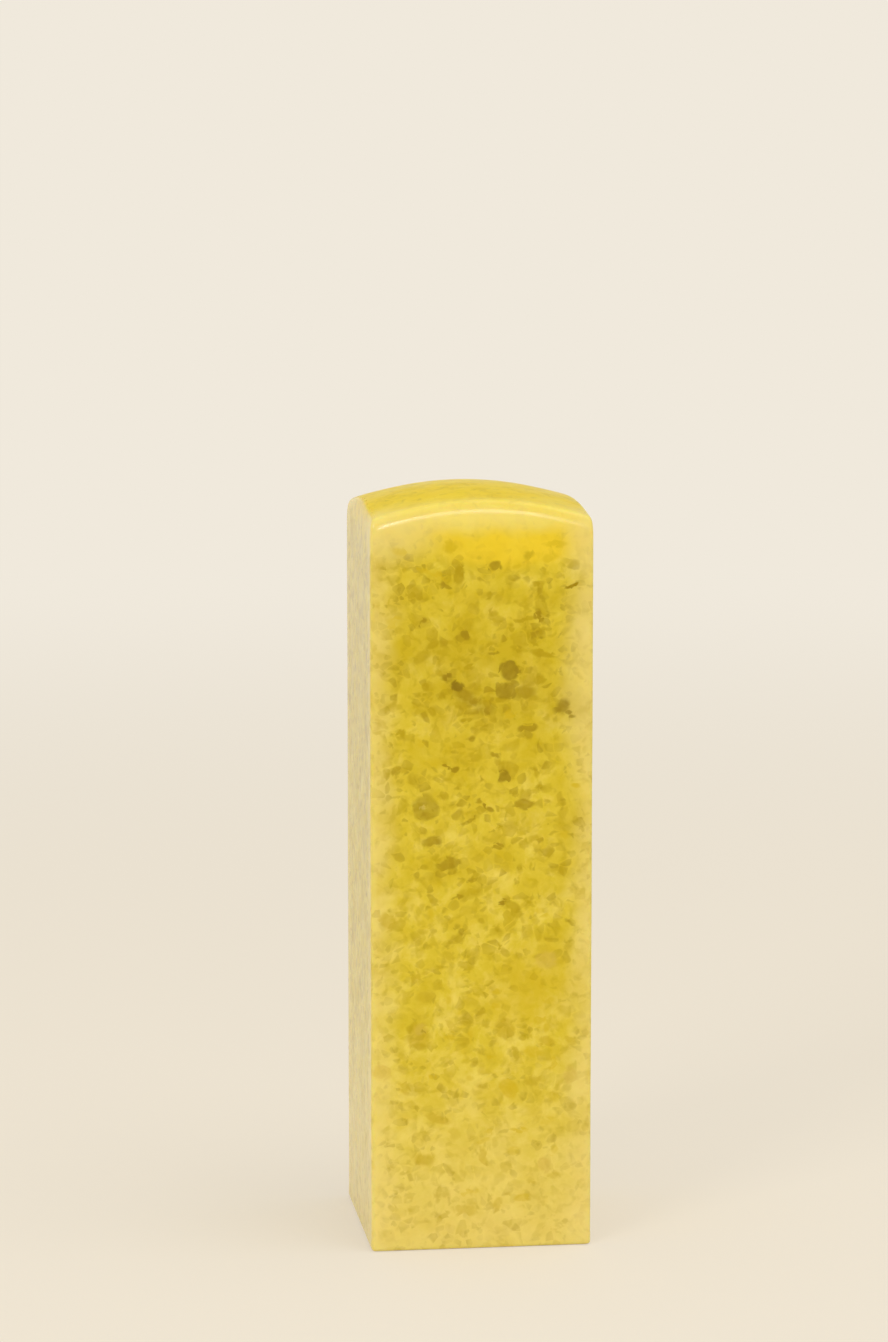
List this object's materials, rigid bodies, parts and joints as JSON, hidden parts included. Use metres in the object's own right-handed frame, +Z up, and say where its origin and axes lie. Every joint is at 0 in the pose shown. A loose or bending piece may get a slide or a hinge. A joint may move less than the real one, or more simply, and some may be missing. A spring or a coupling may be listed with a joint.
{
  "type": "seal stamp",
  "caption": "Upright square seal stamp blank of polished mottled yellow-green soft stone, with a low cushion crown and a flat uncarved printing face.",
  "frame": {"origin": "centre of the flat printing face at the base", "axes": "+Z up to the crown, the printing face looks along -Z, the mottled front face of the picture looks along -Y, +X to its right"},
  "size_m": [0.02, 0.02, 0.0687],
  "materials": {
    "polished_stone": "hand-polished translucent soft stone, yellow with olive grains"
  },
  "bodies": {
    "root": {"seal_stone": "polished_stone"}
  },
  "joints": []
}
